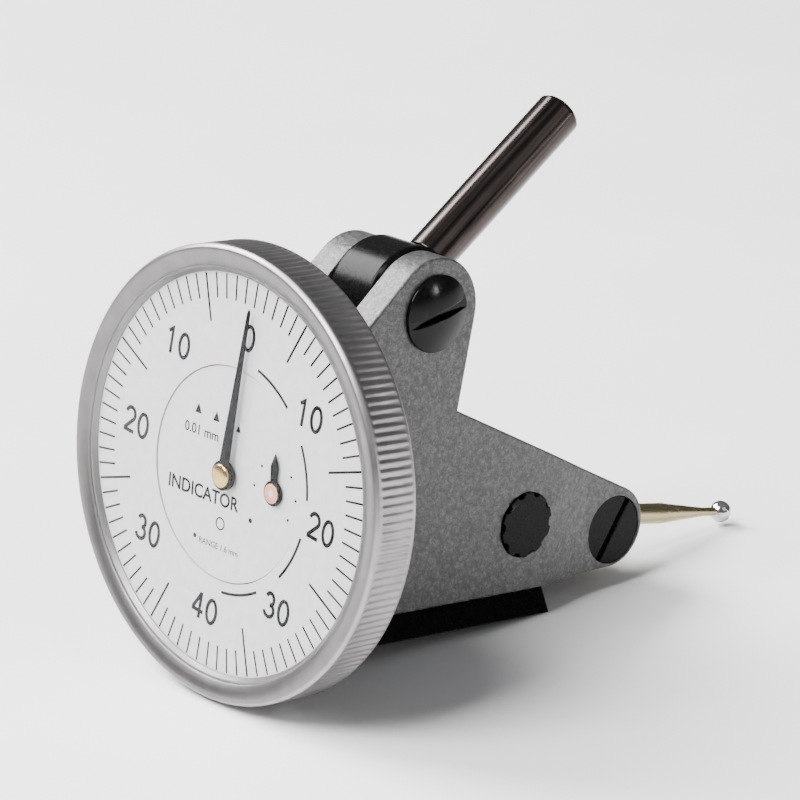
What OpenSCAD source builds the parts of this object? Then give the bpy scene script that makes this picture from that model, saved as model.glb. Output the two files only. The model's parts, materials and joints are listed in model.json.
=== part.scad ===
// Lever dial indicator: turning dial, wedge body, ball stylus, swivel stem and dovetail rail.
// Millimetres. Each sub-part is drawn on the dial axis (X runs from the dial to the stylus, Z up,
// x = 0 at the front of the bezel), and placed() then sets the whole instrument on its bezel and rail.

/* [Dial and bezel] */
// Outside diameter of the bezel
bezel_d = 38; // [37:0.5:40]
// Width of the bezel's knurled band
bezel_w = 4.4; // [4.3:0.1:5]
// Clear radius inside the bezel's front ring
crystal_r = 17.2; // [16.8:0.1:17.4]
// Height of the crystal's dome in front of the bezel
crystal_rise = 1; // [0.9:0.1:1.6]
// Radius where the graduated ring ends and the fixed centre begins
dial_split_r = 9; // [8.5:0.1:9.5]
// Turn of the graduated ring and the hand from upright
dial_turn = 7; // [0:1:40]
// Reach of the main hand from its axis
hand_len = 14.4; // [12:0.1:15]
// Distance of the counter hand's axis from the dial axis
counter_off = 5.9; // [5.5:0.1:6.2]

/* [Body] */
// Width of the body and across the ears
body_w = 11; // [10.6:0.2:13]
// Width of the forked nose
nose_w = 9.4; // [9:0.1:9.8]
// Underside of the body below the dial axis
body_low = 12.7; // [12.5:0.1:13]
// Radius of the nose
nose_r = 3.65; // [3.6:0.05:4]
// Wall between the movement's cavity and the outside
wall = 1.5; // [1.2:0.1:1.6]

/* [Stem and ears] */
// Diameter of the mounting stem
stem_d = 4; // [3.5:0.1:4.2]
// Distance from the swivel axis to the end of the stem
stem_reach = 23.4; // [18:0.1:30]
// Lean of the stem from upright towards the stylus
stem_lean = 50.5; // [40:0.5:60]
// Radius of the ears' round tops
ear_r = 4.7; // [4.5:0.1:5.2]
// Gap between the ears
ear_gap = 5.3; // [5.2:0.1:5.6]
// Radius of the swivel barrel
barrel_r = 5; // [4.8:0.1:5.1]

/* [Rail] */
// Height of the dovetail rail
rail_h = 2.75; // [2:0.05:3]
// Width of the rail's outer face
rail_w = 9.6; // [8:0.1:10]
// Far end of the rail, measured from the bezel's front
rail_end = 35; // [33:0.5:36]

/* [Stylus] */
// Distance from the lever axis to the centre of the ball
stylus_reach = 19.1; // [17:0.1:21]
// Diameter of the ball
ball_d = 2; // [1:0.1:2.2]
// Dip of the stylus below the dial axis
stylus_dip = 6.3; // [0:0.1:8]

/* [Gears] */
// Teeth on a full circle of the sector
sector_teeth = 150; // [150:10:150]
// Teeth on the crown arbor's pinion
crown_pinion_teeth = 15; // [15:1:15]
// Teeth on the crown wheel
crown_teeth = 60; // [60:1:60]
// Teeth on the hand arbor's pinion
hand_pinion_teeth = 8; // [8:1:8]
// Teeth on the counter wheel
counter_teeth = 80; // [80:1:80]
// Teeth on the counter's drive pinion
drive_teeth = 10; // [10:1:10]

/* [Hidden] */
$fn = 72;

// Points in the plane of the body's side are [x, z] pairs.
bezel_r = bezel_d / 2;
half_w = body_w / 2;
nose_half = nose_w / 2;
swivel = [17.4, 13.2];
lever = [42.2, -9];
nose = [42.05, -8.75];
plug = [30.3, -6.7];
shoulder = [15, 7.1];
front_x = 4.3;
flange_front = 2.9;
flange_r = 17.5;
edge = 0.25;
front_edge = 0.35;
run = 0.02;
past = 1;

// The groove between the flange and the bezel, which holds the retaining wire.
groove_x = [3.4, 3.95];
wire_r = 0.22;
bore_r = flange_r + 0.06;

// Radii of the pivots and of what they turn in.
clamp_r = 1.5;
lever_pivot_r = 0.5;
lever_core_r = 0.9;
plug_pivot_r = 0.6;
plug_r = 2.9;
plug_boss_r = 1.4;
cap_r = 3.1;
cap_boss_r = 1.5;
cap_t = 1.2;
hand_tip_r = 0.35;
hand_shaft_r = 0.5;
hand_tail_r = 0.3;
counter_arbor_r = 0.3;
crown_arbor_r = 0.4;
crown_bush_r = 0.9;

// Fork of the nose, and screws.
fork_half = 2.3;
fork_depth = 3.4;
frame_screw_r = 0.5;
rail_screw_r = 0.8;

// The instrument lies on the bezel's rear edge and the rail's far corner.
pitch = atan((bezel_r - body_low - rail_h) / (rail_end - bezel_w + edge));
ball_at = lever + stylus_reach * [cos(stylus_dip), -sin(stylus_dip)];
low_x = -(bezel_r - front_edge) * sin(pitch);
high_x = ball_at[0] * cos(pitch) + ball_at[1] * sin(pitch) + ball_d / 2;
shift_x = -(low_x + high_x) / 2;
shift_z = rail_end * sin(pitch) + (body_low + rail_h) * cos(pitch);

// Levels along the dial axis, from the crystal back to the movement plate.
crystal_edge_x = 0.05;
crystal_t = 0.55;
tension_x = 0.35;
ring_x = 0.8;
ring_t = 0.4;
centre_x = 0.9;
centre_t = 0.4;
train_x = 1.5;
train_t = 0.4;
plate_x = 2.1;
plate_r = 11;
hand_x = 0.24;
hand_t = 0.12;
counter_x = 0.6;

// Gear sizes: the sector, crown and counter pairs each share one module.
lever_gap = norm(lever - plug);
tail_len = lever_gap / 3;
arm_len = lever_gap - tail_len;
sector_m = 0.2;
sector_r = sector_m * sector_teeth / 2;
crown_pinion_r = sector_m * crown_pinion_teeth / 2;
crown_x = plug[0] - sqrt(pow(sector_r + crown_pinion_r, 2) - pow(plug[1], 2));
crown_at = [crown_x, 0];
crown_m = 0.15;
crown_r = crown_m * crown_teeth / 2;
hand_pinion_r = crown_m * hand_pinion_teeth / 2;
counter_m = 2 * counter_off / (counter_teeth + drive_teeth);
sector_aim = atan2(crown_at[1] - plug[1], crown_at[0] - plug[0]);
cheek_in = 3.1;
cheek_t = 0.7;
cavity_half = half_w - wall + 0.1;

function polar(r, a) = [r * cos(a), r * sin(a)];

// One tooth as four points from root to root, centred on angle a.
function tooth(m, r, a, wide) = let (
        w = 90 * wide / (r / m),
        root = r - 1.1 * m,
        tip = r + 0.8 * m
    ) [
        polar(root, a - 1.3 * w),
        polar(tip, a - 0.5 * w),
        polar(tip, a + 0.5 * w),
        polar(root, a + 1.3 * w)
    ];
function gear(m, teeth, phase = 0, wide = 0.8) = [
    for (i = [0 : teeth - 1], p = tooth(m, m * teeth / 2, phase + i * 360 / teeth, wide / 2)) p
];

module placed() translate([shift_x, 0, shift_z]) rotate([0, pitch, 0]) children();
// Cylinders along X and along Y, and one along Y on one side of the body, from near to far.
module on_x(x0, x1, r, y = 0, z = 0) translate([x0, y, z]) rotate([0, 90, 0])
    cylinder(h = x1 - x0, r = r);
module on_y(p, y0, y1, r) translate([p[0], y1, p[1]]) rotate([90, 0, 0])
    cylinder(h = y1 - y0, r = r);
module on_side(p, side, near, far, r)
    on_y(p, min(side * near, side * far), max(side * near, side * far), r);
// A side-view outline given thickness from y0 to y1.
module slab(y0, y1) translate([0, y1, 0]) rotate([90, 0, 0]) linear_extrude(height = y1 - y0) children();
// A dial-face outline drawn as [towards the viewer's right, up], given thickness from x0 to x1.
module face_slab(x0, x1) translate([x0, 0, 0]) rotate([90, 0, -90]) mirror([0, 0, 1])
    linear_extrude(height = x1 - x0) children();
// A ring or disc turned about the dial axis from [radius, x] points.
module turned_x() rotate([0, 90, 0]) rotate_extrude($fn = 144) children();
// The same about a cross axis through p, from [radius, y] points.
module turned_y(p) translate([p[0], 0, p[1]]) rotate([-90, 0, 0]) rotate_extrude() children();
// Moves the stem's and the stylus's own axes, drawn along +X, onto their pivots.
module aimed(p, up) translate([p[0], 0, p[1]]) rotate([0, -up, 0]) children();

// ---- Housing -------------------------------------------------------------------------------

slope_dir = (nose + [0, nose_r] - shoulder) / norm(nose + [0, nose_r] - shoulder);
slope_out = [-slope_dir[1], slope_dir[0]];
nose_top = nose + nose_r * slope_out;
nose_low = nose + nose_r * [0.05, -sqrt(1 - 0.05 * 0.05)];
ear_front = swivel + ear_r * [-sin(45), cos(45)];
ear_rear_dir = [sin(7), cos(7)];
ear_rear = swivel + ear_r * [cos(7), -sin(7)];
slot_floor = swivel[1] - barrel_r - 0.4;
roof = 1.1 * wall;
cavity_end = lever[0] - 5.9;
cavity_end_top = shoulder[1] - roof + (cavity_end - shoulder[0]) * slope_dir[1] / slope_dir[0];

module body_outline() polygon([
    [front_x - 0.6, -body_low],
    [rail_end, -body_low],
    nose_low,
    nose,
    nose_top,
    shoulder,
    [front_x - 0.6, shoulder[1] - 0.3]
]);

module ear_outline() polygon([
    [front_x - 0.3, 0],
    [front_x - 0.3, ear_front[1] - ear_front[0] + front_x],
    ear_front,
    swivel,
    ear_rear,
    ear_rear - 9 * ear_rear_dir,
    [ear_rear[0] - 4, 0]
]);

module cavity_outline() polygon([
    [front_x, -body_low + wall],
    [cavity_end, -body_low + wall],
    [cavity_end, cavity_end_top],
    shoulder - [0, roof],
    [front_x, shoulder[1] - roof]
]);

// Takes the sides in from the body's width to the nose's width.
module nose_taper(side) {
    far = lever[0] + 10;
    translate([0, 0, -body_low - 1]) linear_extrude(height = body_low + 10) polygon([
        [rail_end - 2, side * (half_w + 0.01)],
        [rail_end + 3, side * nose_half],
        [far, side * nose_half],
        [far, side * (half_w + 2)],
        [rail_end - 2, side * (half_w + 2)]
    ]);
}

module housing() color("dimgray") placed() difference() {
    union() {
        turned_x() polygon([
            [0, flange_front],
            [flange_r, flange_front],
            [flange_r, groove_x[0]],
            [flange_r - wire_r - 0.03, groove_x[0]],
            [flange_r - wire_r - 0.03, groove_x[1]],
            [flange_r, groove_x[1]],
            [flange_r, front_x],
            [0, front_x]
        ]);
        slab(-half_w, half_w) body_outline();
        slab(-half_w, half_w) ear_outline();
        on_y(swivel, -half_w, half_w, ear_r);
        on_y(nose, -half_w, half_w, nose_r);
    }
    // Slot between the ears
    translate([front_x, -ear_gap / 2, slot_floor]) cube([30, ear_gap, 30]);
    // Clamp screw: clearance in the near ear, thread in the far one
    on_y(swivel, -half_w - past, 0, clamp_r + 0.1);
    on_y(swivel, 0, half_w + past, clamp_r + run);
    // Movement cavity and the window that it is loaded through
    slab(-cavity_half, cavity_half) cavity_outline();
    translate([flange_front - past, -cavity_half, -7.5])
        cube([front_x - flange_front + past + 0.1, 2 * cavity_half, 13]);
    // Fork of the nose, and its opening into the cavity
    translate([lever[0] - fork_depth, -fork_half, -20]) cube([12, 2 * fork_half, 40]);
    translate([cavity_end - 0.6, -fork_half, lever[1] - 1.9]) cube([4, 2 * fork_half, 4.4]);
    nose_taper(-1);
    nose_taper(1);
    // Lever bearings, sector bearings
    for (side = [-1, 1]) {
        on_side(lever, side, fork_half - 0.3, half_w + past, cap_boss_r);
        on_side(lever, side, nose_half - cap_t - 0.1, half_w + past, cap_r);
        on_side(plug, side, cavity_half - past, half_w + past, plug_r);
    }
    // Frame screws and rail screws
    for (p = frame_screw_at) on_x(flange_front - past, front_x - 0.2, frame_screw_r, p[0], p[1]);
    for (x = rail_screw_x) translate([x, 0, -body_low - past]) cylinder(h = 2.2, r = rail_screw_r);
}

module bezel_wire() color("silver") placed() turned_x()
    translate([flange_r, (groove_x[0] + groove_x[1]) / 2]) circle(r = wire_r, $fn = 24);

// ---- Movement frame and dial supports ------------------------------------------------------

frame_screw_at = [[5.2, 7.8], [5.2, -7.8], [-5.2, 7.8], [-5.2, -7.8]];
post_at = [[6.9, 0], [1.2, 7.1], [1.2, -7.1]];
cheek_end = crown_x + 1.8;
cheek_h = 4.8;
cock_t = 0.8;
cock_screw_r = 0.35;

module movement_frame() color("goldenrod") placed() difference() {
    union() {
        on_x(plate_x, flange_front, plate_r);
        for (y = [-cheek_in - cheek_t, cheek_in]) translate([flange_front - 0.1, y, -cheek_h / 2])
            cube([cheek_end - flange_front + 0.1, cheek_t, cheek_h]);
    }
    on_x(0, front_x, hand_bush_r);
    on_x(0, front_x, counter_bush_r, -counter_off);
    for (p = frame_screw_at) on_x(0, front_x, frame_screw_r + 0.05, p[0], p[1]);
    on_y(crown_at, -half_w, half_w, crown_bush_r);
    on_y(cock_at, 0, half_w, cock_screw_r);
}

module frame_screws() color("silver") placed() for (p = frame_screw_at) difference() {
    union() {
        on_x(plate_x - 0.4, plate_x, 0.9, p[0], p[1]);
        on_x(plate_x - 0.1, front_x - 0.3, frame_screw_r, p[0], p[1]);
    }
    translate([plate_x - 0.5, p[0] - 0.12, p[1] - 1]) cube([0.3, 0.24, 2]);
}

module dial_posts() color("goldenrod") placed() for (p = post_at)
    on_x(centre_x + centre_t, plate_x, 0.6, p[0], p[1]);

module dial_centre() color("white") placed() difference() {
    on_x(centre_x, centre_x + centre_t, dial_split_r - 0.05);
    on_x(0, plate_x, hand_tip_r + 0.45);
    on_x(0, plate_x, 2 * counter_arbor_r, -counter_off);
}

hand_bush_r = 1.2;
counter_bush_r = 0.8;

module hand_bush() color("goldenrod") placed() difference() {
    on_x(plate_x, flange_front + 0.6, hand_bush_r);
    on_x(0, front_x, hand_shaft_r + run);
}

module counter_bush() color("goldenrod") placed() difference() {
    on_x(plate_x, flange_front, counter_bush_r, -counter_off);
    on_x(0, plate_x + 0.7, counter_arbor_r + run, -counter_off);
}

module crown_bushes() color("crimson") placed() for (side = [-1, 1]) difference() {
    on_side(crown_at, side, cheek_in, cheek_in + cheek_t, crown_bush_r);
    on_side(crown_at, side, 0, cheek_in + 0.55, crown_arbor_r + run);
}

rear_cock_x = crown_x - crown_r + 1.1;
cock_at = [rear_cock_x + cock_t / 2, 0];

module rear_cock() color("goldenrod") placed() difference() {
    translate([rear_cock_x, -0.75, -0.7]) cube([cock_t, cheek_in + 0.75, 1.4]);
    on_x(0, rear_cock_x + 2, hand_tail_r + run);
    on_y(cock_at, cheek_in / 2 - 0.15, half_w, cock_screw_r);
}

module cock_screw() color("silver") placed() {
    on_y(cock_at, cheek_in / 2 - 0.05, cheek_in + cheek_t + 0.1, cock_screw_r);
    on_y(cock_at, cheek_in + cheek_t, cheek_in + cheek_t + 0.2, 0.6);
}

// ---- Hairspring ----------------------------------------------------------------------------

spring_x = 6.2;
spring_h = 0.5;
spring_in = 0.96;
spring_out = 2.74;
spring_turns = 6;
spring_step = 15;
spring_half = 0.04;
spring_edge = spring_out + spring_half;

// Radius of the spiral at angle a, which grows evenly over its turns.
function spring_r(a) = spring_in + (spring_out - spring_in) * a / (360 * spring_turns);

module hairspring() color("lightsteelblue") placed() face_slab(spring_x, spring_x + spring_h)
    polygon(concat(
        [for (a = [0 : spring_step : 360 * spring_turns]) polar(spring_r(a) + spring_half, a + 180)],
        [for (a = [360 * spring_turns : -spring_step : 0]) polar(spring_r(a) - spring_half, a + 180)]
    ));

module hairspring_collet() color("goldenrod") placed() difference() {
    on_x(spring_x - 0.2, spring_x + spring_h + 0.2, 0.88);
    on_x(0, 12, hand_shaft_r);
}

module hairspring_stud() color("goldenrod") placed()
    translate([spring_x - 0.2, spring_edge, -0.3]) cube([spring_h + 0.4, cheek_in - spring_edge, 0.6]);

// ---- Rail ----------------------------------------------------------------------------------

rail_start = front_x + 0.5;
rail_screw_x = [12, 28];
rail_low = body_low + rail_h;
rail_half = rail_w / 2;
rail_neck = rail_half - rail_h * tan(30);
rail_head_r = 1.4;

module dovetail_rail() color("black") placed() difference() {
    translate([rail_start, 0, 0]) rotate([90, 0, 90])
        linear_extrude(height = rail_end - rail_start) polygon([
            [-rail_half, -rail_low],
            [rail_half, -rail_low],
            [rail_neck, -body_low],
            [-rail_neck, -body_low]
        ]);
    for (x = rail_screw_x) translate([x, 0, -rail_low - past]) {
        cylinder(h = 10, r = rail_screw_r);
        cylinder(h = 2.2, r = rail_head_r + 0.1);
    }
}

module rail_screws() color("black") placed() for (x = rail_screw_x) difference() {
    translate([x, 0, -rail_low + 0.25]) {
        cylinder(h = 0.95, r = rail_head_r);
        cylinder(h = rail_h + 0.8, r = rail_screw_r);
    }
    translate([x - 2, -0.2, -rail_low]) cube([4, 0.4, 0.6]);
}

// ---- Bearings in the body's sides ----------------------------------------------------------

plug_notches = 10;
plug_notch_r = 0.5;
plug_notch_depth = 0.34;
plug_rise = 0.25;
sector_pivot = 4.9;
lever_pivot = 3.9;
end_play = 0.05;

module bearing_plug(side) color("black") placed() difference() {
    union() {
        on_side(plug, side, cavity_half, half_w + plug_rise, plug_r);
        on_side(plug, side, cavity_half - 0.4, half_w, plug_boss_r);
    }
    on_side(plug, side, 0, sector_pivot + end_play, plug_pivot_r + run);
    notch_at = plug_r + plug_notch_r - plug_notch_depth;
    for (i = [0 : plug_notches - 1])
        on_side(plug + polar(notch_at, i * 360 / plug_notches), side, half_w - plug_rise, 7, plug_notch_r);
}

module bearing_plug_left() bearing_plug(-1);
module bearing_plug_right() bearing_plug(1);

module pivot_bearing(side) color("black") placed() difference() {
    union() {
        on_side(lever, side, nose_half - cap_t - 0.1, nose_half - 0.1, cap_r);
        on_side(lever, side, fork_half + 0.1, nose_half - past, cap_boss_r);
    }
    on_side(lever, side, 0, lever_pivot + end_play, lever_pivot_r + run);
    aimed(lever, 60) translate([-4, side * (nose_half - 0.1) - 0.35, -0.3]) cube([8, 0.7, 0.6]);
}

module pivot_bearing_left() pivot_bearing(-1);
module pivot_bearing_right() pivot_bearing(1);

// ---- Bezel group, which turns --------------------------------------------------------------

module bezel() color("silver") placed() turned_x() polygon([
    [crystal_r, 0.25],
    [bezel_r - 0.6, 0],
    [bezel_r - front_edge, 0],
    [bezel_r, front_edge],
    [bezel_r, bezel_w - edge],
    [bezel_r - edge, bezel_w],
    [bore_r, bezel_w],
    [bore_r, groove_x[1]],
    [flange_r + 2 * wire_r, groove_x[1]],
    [flange_r + 2 * wire_r, groove_x[0]],
    [bore_r, groove_x[0]],
    [bore_r, ring_x + ring_t + 0.1],
    [crystal_r, ring_x + ring_t + 0.1]
]);

// Radius of a dome of the given half width and rise.
function dome_r(half, rise) = (half * half + rise * rise) / (2 * rise);

// A dome's [radius, x] points from its top out to its rim.
function dome(half, rise, top) = let (whole = dome_r(half, rise)) [
    for (i = [0 : dome_steps], r = half * i / dome_steps) [r, top + whole - sqrt(whole * whole - r * r)]
];

dome_steps = 12;
crystal_seat = crystal_r - 0.3;
crystal_in = crystal_t - crystal_rise;
inner_dome = dome(crystal_seat, tension_x - crystal_in, crystal_in);

module crystal() color("white", 0.3) placed() turned_x() polygon(concat(
    dome(crystal_r, crystal_rise + crystal_edge_x, -crystal_rise),
    [[crystal_r, tension_x]],
    [for (i = [dome_steps : -1 : 0]) inner_dome[i]]
));

module tension_ring() color("silver") placed() difference() {
    on_x(tension_x, ring_x, crystal_r);
    on_x(0, 2, crystal_r - 0.25);
}

module dial_ring() color("white") placed() difference() {
    on_x(ring_x, ring_x + ring_t, crystal_r - run);
    on_x(0, 2, dial_split_r + 0.05);
}

// ---- Hand group ----------------------------------------------------------------------------

hand_pinion_x = crown_x - crown_r;

module hand_arbor() color("lightgray") placed() {
    on_x(0, plate_x, hand_tip_r);
    on_x(plate_x - 0.1, hand_pinion_x - 0.6, hand_shaft_r);
    on_x(hand_pinion_x - 0.7, rear_cock_x + 0.7, hand_tail_r);
    face_slab(hand_pinion_x - 0.5, hand_pinion_x + 0.5) polygon(gear(crown_m, hand_pinion_teeth));
}

module main_hand() color("black") placed() {
    difference() {
        on_x(hand_x, hand_x + 0.4, 1.25);
        on_x(-1, 2, hand_tip_r);
    }
    face_slab(hand_x, hand_x + hand_t) rotate(-dial_turn) polygon([
        [-0.55, 1.1], [-0.14, hand_len - 0.3], [0, hand_len], [0.14, hand_len - 0.3], [0.55, 1.1]
    ]);
}

module hand_boss() color("gold") placed() difference() {
    on_x(-0.2, hand_x, 1);
    on_x(0, 2, hand_tip_r);
}

module counter_drive() color("goldenrod") placed() difference() {
    face_slab(train_x, train_x + train_t) polygon(gear(counter_m, drive_teeth));
    on_x(0, 3, hand_tip_r);
}

// ---- Counter group -------------------------------------------------------------------------

counter_tip_x = 0.45;

module counter_arbor() color("lightgray") placed()
    on_x(counter_tip_x, plate_x + 0.6, counter_arbor_r, -counter_off);

module counter_wheel() color("goldenrod") placed() difference() {
    translate([0, -counter_off, 0]) face_slab(train_x, train_x + train_t)
        polygon(gear(counter_m, counter_teeth, 180 / counter_teeth));
    on_x(0, 3, counter_arbor_r, -counter_off);
    for (a = [45 : 90 : 315]) on_x(0, 3, 1.3, -counter_off + 2.7 * cos(a), 2.7 * sin(a));
}

module counter_hand() color("black") placed() difference() {
    union() {
        on_x(counter_x, counter_x + 0.2, 1.05, -counter_off);
        translate([0, -counter_off, 0]) face_slab(counter_x, counter_x + 0.12) polygon([
            [-0.32, 0.8], [-0.45, 2.2], [0, 3.3], [0.45, 2.2], [0.32, 0.8]
        ]);
    }
    on_x(0, 3, counter_arbor_r, -counter_off);
}

module counter_boss() color("peru") placed() difference() {
    on_x(counter_x - 0.14, counter_x, 0.82, -counter_off);
    on_x(counter_tip_x, 3, counter_arbor_r, -counter_off);
}

// ---- Crown group ---------------------------------------------------------------------------

crown_face = -1.15;
crown_hub_r = 0.7;
crown_tip = crown_r + 0.25;

module crown_arbor() color("lightgray") placed() {
    on_y(crown_at, -cheek_in - 0.5, cheek_in + 0.5, crown_arbor_r);
    translate([crown_x, 0, 0]) slab(0.5, 1.5)
        polygon(gear(sector_m, crown_pinion_teeth, sector_aim + 180));
    on_y(crown_at, crown_face, 0.5, crown_hub_r);
}

module crown_tooth() translate([-crown_tip, 0, 0]) rotate([90, 0, 90])
    linear_extrude(height = 0.7) polygon([
        [crown_face - 0.1, -0.15],
        [-hand_pinion_r + 0.12, -0.05],
        [-hand_pinion_r + 0.12, 0.05],
        [crown_face - 0.1, 0.15]
    ]);

module crown_wheel() color("goldenrod") placed() difference() {
    union() {
        on_y(crown_at, crown_face - 0.45, crown_face, crown_tip);
        translate([crown_x, 0, 0])
            for (i = [0 : crown_teeth - 1]) rotate([0, (i + 0.5) * 360 / crown_teeth, 0]) crown_tooth();
    }
    on_y(crown_at, -3, 3, crown_arbor_r);
    for (a = [30 : 60 : 330]) on_y(crown_at + polar(2.4, a), -3, 0, 0.75);
}

// ---- Sector group --------------------------------------------------------------------------

sector_y = [0.75, 1.25];
tooth_step = 360 / sector_teeth;
sector_low = -1;
sector_high = 5;
sector_hub_r = 1.2;
to_lever = atan2(lever[1] - plug[1], lever[0] - plug[0]);

module sector_arbor() color("lightgray") placed() on_y(plug, -sector_pivot, sector_pivot, plug_pivot_r);

module sector_lever() color("goldenrod") placed() difference() {
    union() {
        slab(sector_y[0], sector_y[1]) translate(plug) {
            polygon(concat(
                [polar(sector_hub_r, sector_aim - 60), polar(sector_hub_r, sector_aim - 20)],
                [for (i = [sector_low : sector_high],
                    p = tooth(sector_m, sector_r, sector_aim + (i + 0.5) * tooth_step, 0.4)) p],
                [polar(sector_hub_r, sector_aim + 60)]
            ));
            rotate(to_lever) translate([0, -0.85]) square([tail_len + 1, 1.7]);
        }
        on_y(plug, 0.35, 1.65, sector_hub_r + 0.2);
    }
    on_y(plug, -half_w, half_w, plug_pivot_r);
    slab(0, 2) translate(plug) rotate(to_lever) translate([tail_len - 0.6, -0.38]) square([3, 0.76]);
}

// ---- Lever group ---------------------------------------------------------------------------

pin_at = lever + arm_len * (plug - lever) / lever_gap;
arm_y = [1.5, 2.1];
nut_y = 1.33;

module lever_shaft() color("lightgray") placed() {
    on_y(lever, -lever_pivot, lever_pivot, lever_pivot_r);
    on_y(lever, -arm_y[1], arm_y[1], lever_core_r);
}

module lever_arm() color("silver") placed() difference() {
    union() {
        on_y(lever, arm_y[0], arm_y[1], 1.8);
        slab(arm_y[0], arm_y[1]) translate(lever) rotate(to_lever + 180) polygon([
            [0, -1.2], [0, 1.2], [arm_len + 0.7, 0.7], [arm_len + 0.7, -0.7]
        ]);
        on_y(pin_at, 0.5, arm_y[0] + 0.1, 0.35);
    }
    on_y(lever, -half_w, half_w, lever_core_r);
}

module friction_washer() color("goldenrod") placed() difference() {
    on_y(lever, nut_y, arm_y[0], 1.6);
    on_y(lever, -half_w, half_w, lever_core_r);
}

module friction_nut() color("goldenrod") placed() difference() {
    translate([lever[0], -nut_y, lever[1]]) rotate([90, 30, 0]) cylinder(h = 0.75, r = 1.8, $fn = 6);
    on_y(lever, -half_w, half_w, lever_core_r);
}

// ---- Stylus group --------------------------------------------------------------------------

hub_r = 2.4;
hub_half = 1.3;
spigot_r = 0.6;
shank_r = 0.95;
neck_r = 0.4;
hub_nose = hub_r + 0.5;
ball_r = ball_d / 2;
shank_end = stylus_reach - sqrt(ball_r * ball_r - neck_r * neck_r);
taper_at = 11;
neck_at = 16.6;

module stylus_hub() color("darkslategray") placed() difference() {
    union() {
        on_y(lever, -hub_half, hub_half, hub_r);
        aimed(lever, -stylus_dip) on_x(0, hub_nose, 1.25);
    }
    on_y(lever, -half_w, half_w, lever_core_r + run);
    aimed(lever, -stylus_dip) on_x(1.4, hub_nose + past, spigot_r);
}

module stylus_shank() color("khaki") placed() aimed(lever, -stylus_dip) rotate([0, 90, 0])
    rotate_extrude() polygon([
        [0, 1.5],
        [spigot_r, 1.5],
        [spigot_r, hub_nose],
        [shank_r, hub_nose],
        [shank_r, taper_at],
        [neck_r, neck_at],
        [neck_r, shank_end],
        [0, shank_end]
    ]);

module stylus_ball() color("white") placed() difference() {
    translate([ball_at[0], 0, ball_at[1]]) sphere(r = ball_r, $fn = 48);
    aimed(lever, -stylus_dip) on_x(0, shank_end, ball_d);
}

// ---- Stem group and clamp screw ------------------------------------------------------------

stem_seat = barrel_r - 0.2;
stem_r = stem_d / 2;
stem_foot = 2.2;
stem_edge = 0.4;
spigot_d = 2.6;
barrel_half = ear_gap / 2 - 0.05;
barrel_edge = 0.3;

module swivel_barrel() color("black") placed() difference() {
    turned_y(swivel) polygon([
        [clamp_r + 0.05, -barrel_half],
        [barrel_r - barrel_edge, -barrel_half],
        [barrel_r, -barrel_half + barrel_edge],
        [barrel_r, barrel_half - barrel_edge],
        [barrel_r - barrel_edge, barrel_half],
        [clamp_r + 0.05, barrel_half]
    ]);
    // The flat that the stem stands on, and the bore for its spigot
    aimed(swivel, 90 - stem_lean) {
        on_x(stem_seat, barrel_r + past, 1.6 * stem_r);
        on_x(stem_foot - 0.1, barrel_r, spigot_d / 2);
    }
}

module stem() color("black") placed() aimed(swivel, 90 - stem_lean) rotate([0, 90, 0])
    rotate_extrude() polygon([
        [0, stem_foot],
        [spigot_d / 2, stem_foot],
        [spigot_d / 2, stem_seat],
        [stem_r, stem_seat],
        [stem_r, stem_reach - stem_edge],
        [stem_r - stem_edge, stem_reach],
        [0, stem_reach]
    ]);

screw_head_r = 3.3;
screw_rise = 0.95;
screw_top = -half_w - screw_rise;
screw_dome_r = dome_r(screw_head_r, screw_rise - 0.3);
screw_slot = 0.7;

module clamp_screw() color("black") placed() difference() {
    union() {
        on_y(swivel, -half_w, half_w - 0.1, clamp_r);
        intersection() {
            on_y(swivel, screw_top, -half_w, screw_head_r);
            translate([swivel[0], screw_top + screw_dome_r, swivel[1]]) sphere(r = screw_dome_r, $fn = 96);
        }
    }
    aimed(swivel, 15) translate([-5, screw_top - 0.1, -screw_slot / 2]) cube([10, screw_slot, screw_slot]);
}

housing();
bezel_wire();
movement_frame();
frame_screws();
dial_posts();
dial_centre();
hand_bush();
counter_bush();
crown_bushes();
rear_cock();
cock_screw();
hairspring();
hairspring_stud();
dovetail_rail();
rail_screws();
bearing_plug_left();
bearing_plug_right();
pivot_bearing_left();
pivot_bearing_right();
bezel();
crystal();
tension_ring();
dial_ring();
hand_arbor();
hairspring_collet();
main_hand();
hand_boss();
counter_drive();
counter_arbor();
counter_wheel();
counter_hand();
counter_boss();
crown_arbor();
crown_wheel();
sector_arbor();
sector_lever();
lever_shaft();
lever_arm();
friction_washer();
friction_nut();
stylus_hub();
stylus_shank();
stylus_ball();
swivel_barrel();
stem();
clamp_screw();
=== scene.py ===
"""The looks of a lever dial indicator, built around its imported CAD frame.

Sizes are millimetres in the instrument's own frame: X runs from the front of the bezel along the
dial axis to the stylus, Y across the body, Z up the dial. PLACE takes them to the row frame.
"""

import json
import math

import bmesh
import bpy
from mathutils import Matrix, Vector


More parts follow.
